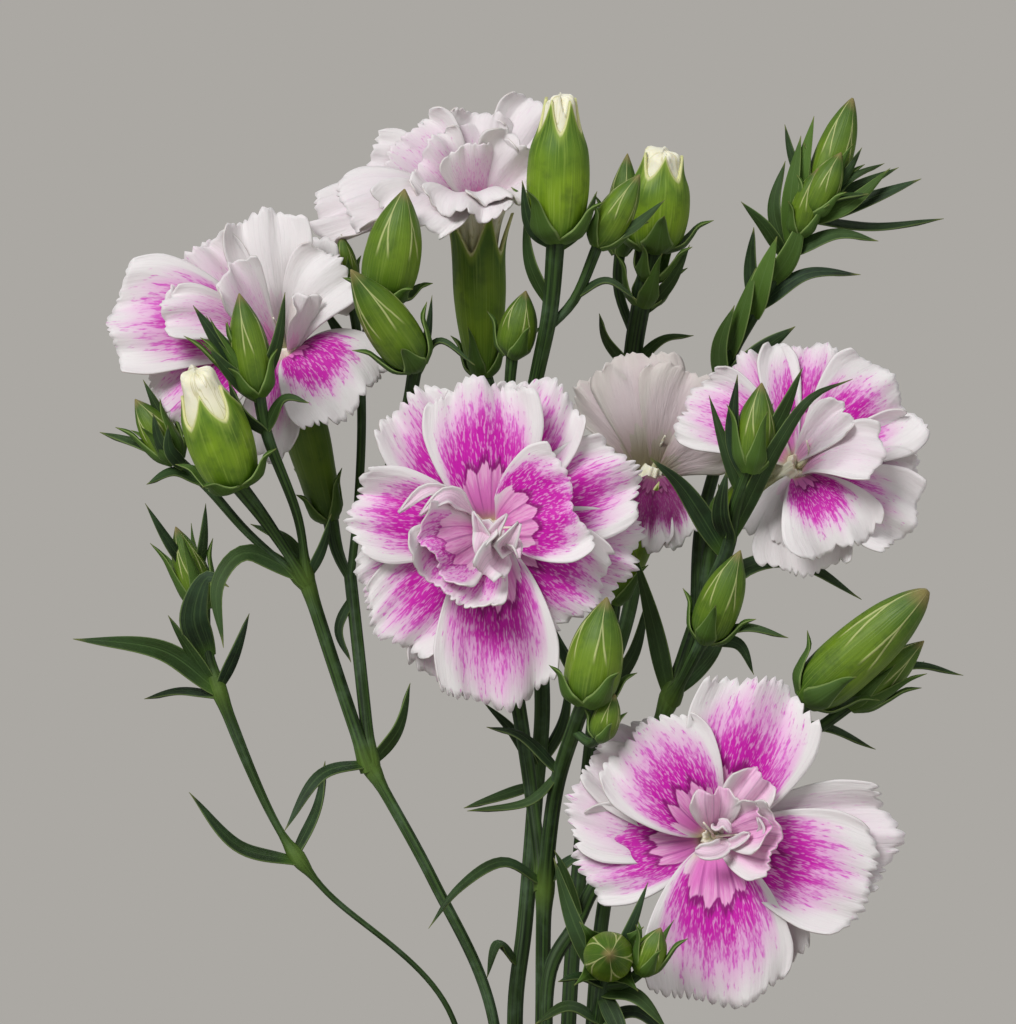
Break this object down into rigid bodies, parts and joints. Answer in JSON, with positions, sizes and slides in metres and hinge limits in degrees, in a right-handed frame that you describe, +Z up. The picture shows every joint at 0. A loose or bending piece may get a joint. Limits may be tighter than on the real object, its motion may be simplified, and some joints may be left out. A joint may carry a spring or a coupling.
{
  "type": "dianthus plant",
  "caption": "Potted double pink with branching leafy stems, closed and opening buds, and white toothed flowers marked magenta round the throat; stands upright in a plain round pot.",
  "frame": {"origin": "centre of the underside of the pot, which rests on the ground plane", "axes": "+Z up along the stems, -Y the side that the two big open flowers face, +X to the right as seen from that side"},
  "size_m": [0.1334, 0.108, 0.2724],
  "materials": {
    "pot": "matte",
    "soil": "matte",
    "green": "satin",
    "petal": "matte",
    "bud": "matte"
  },
  "bodies": {
    "root": {"pot": "pot", "soil": "soil", "stem_left": "green", "stem_branched": "green", "stem_middle": "green", "stem_front": "green", "stem_low": "green", "stem_back": "green", "stem_right": "green", "shoot_short": "green", "tuft_left": "green", "tuft_right": "green", "tuft_back": "green", "flower_front": "petal", "flower_low": "petal", "flower_left": "petal", "flower_top": "petal", "flower_right": "petal", "flower_back": "petal", "bud_tip_middle": "bud", "bud_tip_back": "bud", "bud_tip_left": "bud"}
  },
  "joints": []
}
